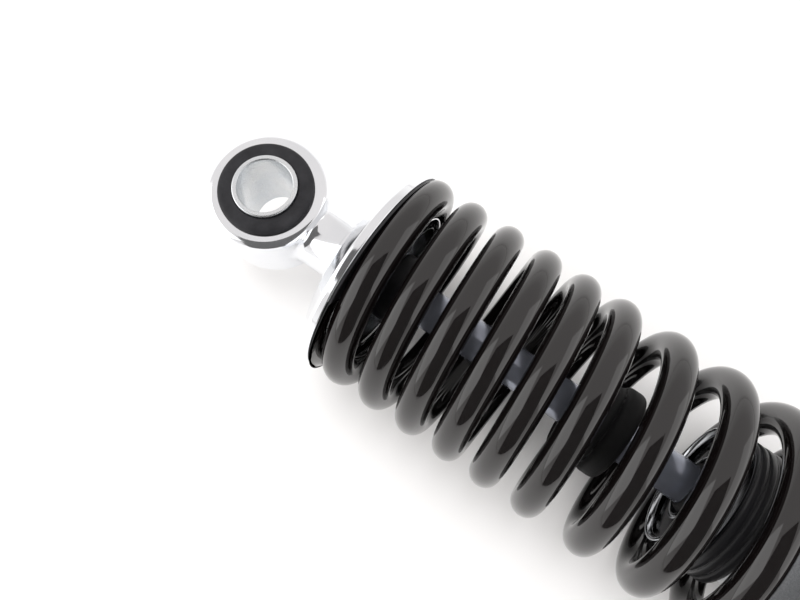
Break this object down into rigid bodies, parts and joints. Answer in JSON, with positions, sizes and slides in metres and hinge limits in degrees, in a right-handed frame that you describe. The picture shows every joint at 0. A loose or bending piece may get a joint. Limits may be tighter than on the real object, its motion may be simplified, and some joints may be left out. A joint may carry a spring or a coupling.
{
  "type": "motorcycle rear shock absorber",
  "caption": "Rear shock absorber with a dual-rate coil spring over a telescopic twin-tube damper and a rubber-bushed eye at each end.",
  "frame": {"origin": "centre of the upper eye's bore", "axes": "+X along the shock from the upper eye to the lower eye, +Z along the bores of both eyes"},
  "size_m": [0.366, 0.0702, 0.0702],
  "materials": {
    "bright_chrome": "polished",
    "hard_chrome": "ground and polished",
    "black_enamel": "gloss",
    "silver_paint": "satin",
    "zinc_steel": "satin",
    "machined_steel": "machined",
    "black_rubber": "matte",
    "black_nylon": "semi-gloss",
    "sintered_iron": "sintered",
    "cast_alloy": "machined",
    "bronze": "plain",
    "ptfe": "matte"
  },
  "bodies": {
    "upper_mount": {"upper_sleeve": "zinc_steel"},
    "rod_assembly": {"upper_bush": "black_rubber", "upper_eye": "bright_chrome", "top_cap": "bright_chrome", "rod_lock_nut": "zinc_steel", "bump_stop_seat": "black_nylon", "piston_rod": "hard_chrome", "top_out_collar": "black_nylon", "rebound_stop_plate": "machined_steel", "rebound_shims": "machined_steel", "piston": "sintered_iron", "piston_band": "ptfe", "compression_shims": "machined_steel", "piston_nut": "machined_steel"},
    "spring_top": {"upper_seat_washer": "black_nylon"},
    "bump_stop": {"bump_stop": "black_rubber"},
    "damper_body": {"coil_spring": "black_enamel", "head_cap": "bright_chrome", "dust_wiper": "black_rubber", "oil_seal": "black_rubber", "rod_guide": "cast_alloy", "guide_bush": "bronze", "body_o_ring": "black_rubber", "damper_tube": "silver_paint", "pressure_tube": "machined_steel", "spring_guide_ring": "black_nylon", "foot_valve": "sintered_iron", "check_disc": "machined_steel", "foot_valve_bolt": "machined_steel", "base_cap": "silver_paint", "lower_seat_washer": "black_nylon", "lower_spring_seat": "black_enamel", "seat_stop_ring": "zinc_steel", "lower_eye": "bright_chrome", "lower_bush": "black_rubber"},
    "lower_mount": {"lower_sleeve": "zinc_steel"}
  },
  "joints": [
    {"name": "upper_swing", "type": "hinge", "parent": "upper_mount", "child": "rod_assembly", "pos_m": [0, 0, 0], "axis": [0, 0, 1], "range_deg": [-12, 12], "stiffness_Nm_per_rad": 57},
    {"name": "rod_turn", "type": "hinge", "parent": "rod_assembly", "child": "spring_top", "pos_m": [0.0383, 0, 0], "axis": [1, 0, 0], "continuous": true},
    {"name": "compression", "type": "slide", "parent": "spring_top", "child": "damper_body", "axis": [-1, 0, 0], "range_m": [0, 0.068], "stiffness_N_per_m": 26500, "springref_m": -0.01, "deforming": ["coil_spring"]},
    {"name": "bump_stop_slide", "type": "slide", "parent": "rod_assembly", "child": "bump_stop", "axis": [-1, 0, 0], "range_m": [0, 0.049]},
    {"name": "lower_swing", "type": "hinge", "parent": "damper_body", "child": "lower_mount", "pos_m": [0.33, 0, 0], "axis": [0, 0, 1], "range_deg": [-12, 12], "stiffness_Nm_per_rad": 57}
  ],
  "couplings": [
    {"joint": "bump_stop_slide", "follows": "compression", "ratio": 0.7205}
  ]
}
